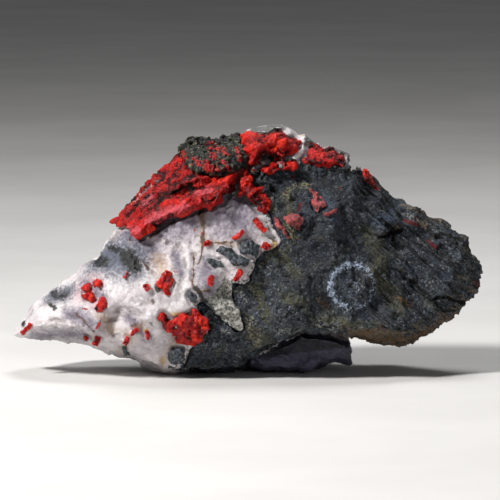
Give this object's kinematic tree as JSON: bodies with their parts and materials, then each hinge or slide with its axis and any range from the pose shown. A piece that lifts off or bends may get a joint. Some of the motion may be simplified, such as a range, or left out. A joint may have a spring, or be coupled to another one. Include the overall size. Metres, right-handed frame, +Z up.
{
  "type": "realgar specimen",
  "caption": "Display mineral specimen: red realgar crusts and crystals on white calcite that is grown against dark limestone, free-standing on its flat underside.",
  "frame": {"origin": "centre of the bounding box, at the flat underside that the specimen stands on", "axes": "+Z up, +X along the specimen's length to its right seen from the front, +Y from the front face towards the back"},
  "size_m": [0.0958, 0.036, 0.0499],
  "materials": {
    "calcite": "broken white calcite, waxy to glassy, stained brown and yellow in places",
    "limestone": "dull dark grey granular rock with brown weathering",
    "realgar": "bright red, resinous, ridged",
    "realgar_cleaved": "pinkish red cleaved faces",
    "dark_sulphide": "green-black granular crust",
    "shale": "dull dark chips"
  },
  "bodies": {
    "root": {"calcite": "calcite", "dark_sulphide_crust": "dark_sulphide", "limestone": "limestone", "realgar_cluster_large": "realgar", "realgar_cluster_small": "realgar", "realgar_crust_edge": "realgar", "realgar_crust_left": "realgar", "realgar_crust_lower": "realgar", "realgar_crust_middle": "realgar", "realgar_crust_right": "realgar", "realgar_crust_top": "realgar", "realgar_crystal_01": "realgar", "realgar_crystal_02": "realgar", "realgar_crystal_03": "realgar", "realgar_crystal_04": "realgar", "realgar_crystal_05": "realgar", "realgar_crystal_06": "realgar", "realgar_crystal_07": "realgar", "realgar_crystal_08": "realgar", "realgar_crystal_09": "realgar", "realgar_crystal_10": "realgar", "realgar_crystal_11": "realgar", "realgar_crystal_12": "realgar", "realgar_crystal_13": "realgar", "realgar_crystal_14": "realgar", "realgar_crystal_15": "realgar", "realgar_grain_1": "realgar", "realgar_grain_2": "realgar", "realgar_grain_3": "realgar", "realgar_grain_4": "realgar", "realgar_patch_1": "realgar_cleaved", "realgar_patch_2": "realgar_cleaved", "realgar_patch_3": "realgar_cleaved", "realgar_streak": "realgar", "shale_chip_1": "shale", "shale_chip_2": "shale", "shale_chip_3": "shale", "shale_chip_4": "shale", "shale_chip_5": "shale", "shale_chip_6": "shale"}
  },
  "joints": []
}
